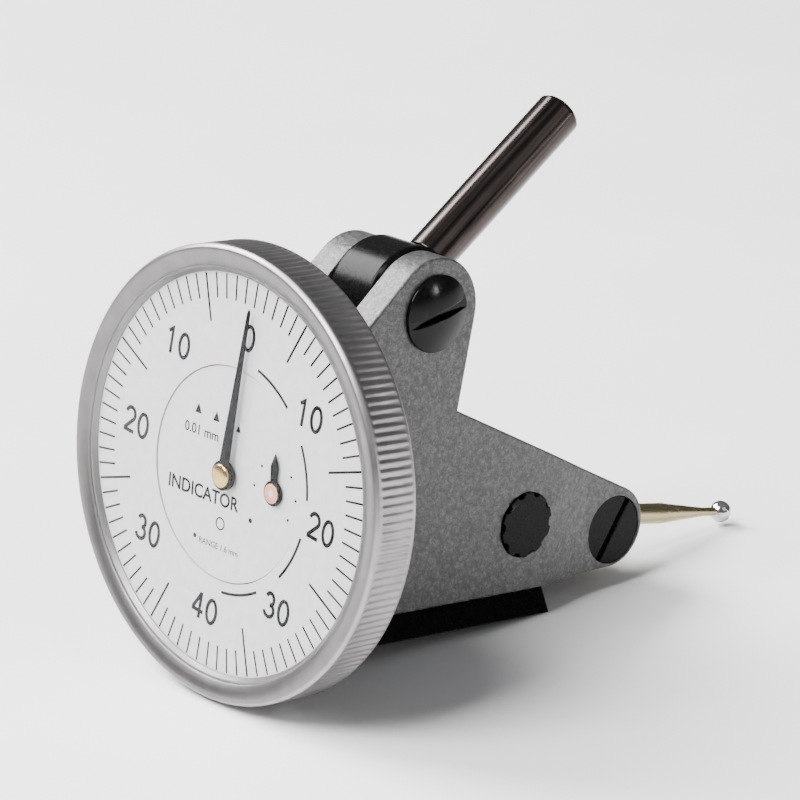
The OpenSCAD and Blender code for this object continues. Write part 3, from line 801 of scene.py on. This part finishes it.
def ring_print():
    """Graduations, numerals and direction arcs, which turn with the bezel."""
    shape = bmesh.new()
    matrix = on_face(RING_FACE)
    step = 2 * math.pi / DIVISIONS
    for i in range(DIVISIONS):
        at = DIAL_TURN + i * step
        if i % 10 == 5:
            tick(shape, matrix, LONG_INNER, MARK_OUTER, at, LONG_WIDTH)
        else:
            tick(shape, matrix, SHORT_INNER, MARK_OUTER, at, SHORT_WIDTH)
    for i, number in enumerate(NUMBERS):
        right, up = polar(NUMBER_R, DIAL_TURN + i * math.pi / 4)
        numeral(shape, number, NUMBER_HEIGHT, NUMBER_STROKE, right, up, DIAL_TURN)
    half = math.radians(13)
    for i in range(4):
        middle = DIAL_TURN + (i + 0.5) * math.pi / 4
        arc(shape, matrix, ARC_R, middle - half, middle + half, ARC_WIDTH)
    return printed("dial_graduations", shape, "bezel_group")


def centre_print():
    """The fixed print in the middle: the unit, a plain word, small marks and the counter's dots."""
    shape = bmesh.new()
    matrix = on_face(CENTRE_FACE)
    lettering(shape, matrix, "0.01 mm", 0.9, -3.6, 2.75, 0.012)
    lettering(shape, matrix, "INDICATOR", 1.2, -2.9, -2.3, 0.03)
    lettering(shape, matrix, "RANGE 1.6 mm", 0.55, -0.5, -6.3)
    for right, up, size in ((-4.2, 4.6, 0.42), (-1.9, 4.45, 0.42), (0.9, 4.1, 0.3)):
        foot = up - size
        corners = [(right - size, foot), (right + size, foot), (right, up + size)]
        raise_outline(shape, corners, matrix)
    dot(shape, matrix, 3.2, -3.05, 0.22)
    dot(shape, matrix, -3.5, -6.1, 0.2)
    arc(shape, matrix, 0.5, 0, 2 * math.pi, 0.13, 20, -0.46, -4.3)
    for turn in (-90, -45, 0, 45, 90, 135):
        right, up = polar(COUNTER_DOTS_R, math.radians(turn))
        dot(shape, matrix, counter_right + right, up, 0.13, 10)
    return printed("dial_centre_print", shape, "housing_group")


ring_print()
centre_print()

# ---- Floor, lights and camera -----------------------------------------------------------------

middle_low, middle_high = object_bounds()
CENTRE = (middle_low + middle_high) / 2
VIEW = (-43.4, 18.5)
VIEW_DISTANCE = 0.361
VIEW_AIM = Vector((19.5, 0, 4.2))


def direction(azimuth, elevation):
    """The unit vector from the object to a viewer: azimuth 0 stands at -Y, 90 at +X."""
    a, e = math.radians(azimuth), math.radians(elevation)
    return Vector((math.sin(a) * math.cos(e), -math.cos(a) * math.cos(e), math.sin(e)))


def floor():
    """A large pale floor."""
    material, tree, shader = new_material("pale_floor")
    cloud = noise(tree, millimetres(tree), 0.02, 3.0)
    shader.inputs["Specular IOR Level"].default_value = 0.2
    connect(
        tree, shader,
        Base_Color=ramp(tree, cloud, (0.3, (0.86, 0.86, 0.86)), (0.7, (0.9, 0.9, 0.9))),
        Roughness=spread(tree, cloud, 0.55, 0.7),
    )
    half = 4.0
    corners = [(-half, -half, 0), (half, -half, 0), (half, half, 0), (-half, half, 0)]
    mesh = bpy.data.meshes.new("floor")
    mesh.from_pydata(corners, [], [(0, 1, 2, 3)])
    mesh.materials.append(material)
    in_scene("floor", mesh)


def softbox(name, azimuth, elevation, distance, size, power):
    """A square area light that faces the object."""
    light = bpy.data.lights.new(name, "AREA")
    light.shape = "SQUARE"
    light.size = size
    light.energy = power
    holder = in_scene(name, light)
    facing = direction(azimuth, elevation)
    holder.location = CENTRE + facing * distance
    holder.rotation_euler = facing.to_track_quat("Z", "Y").to_euler()


def sky():
    """A pale surround, darker towards the floor so that metal has something to mirror."""
    world = bpy.data.worlds.new("studio")
    world.use_nodes = True
    tree = world.node_tree
    point = add(tree, "TexCoord").outputs["Generated"]
    height = add(tree, "SeparateXYZ", {"Vector": point}).outputs["Z"]
    rise = spread(tree, height, 0.0, 1.0, -0.3, 1.0)
    shade = ramp(tree, rise, (0.0, (0.35, 0.35, 0.36)), (1.0, (0.95, 0.96, 1.0)))
    back = tree.nodes["Background"]
    tree.links.new(shade, back.inputs["Color"])
    back.inputs["Strength"].default_value = 0.25
    bpy.context.scene.world = world


def camera():
    """A long lens in front of the dial, to its right and a little above it."""
    data = bpy.data.cameras.new("camera")
    data.lens = 190
    data.sensor_width = 36
    data.clip_start = 0.01
    data.clip_end = 20
    holder = in_scene("camera", data)
    stand = CENTRE + direction(*VIEW) * VIEW_DISTANCE
    aim = PLACE @ VIEW_AIM
    holder.location = stand
    holder.rotation_euler = (stand - aim).to_track_quat("Z", "Y").to_euler()
    bpy.context.scene.camera = holder


floor()
# Azimuth and elevation in degrees, distance and size in metres, power in watts
softbox("key", -92, 50, 0.7, 0.35, 12.0)
softbox("back", -160, 42, 0.7, 0.4, 15.0)
softbox("fill", 10, 35, 0.9, 0.5, 0.8)
softbox("glint", 33, 7, 0.9, 0.08, 0.7)
sky()
camera()
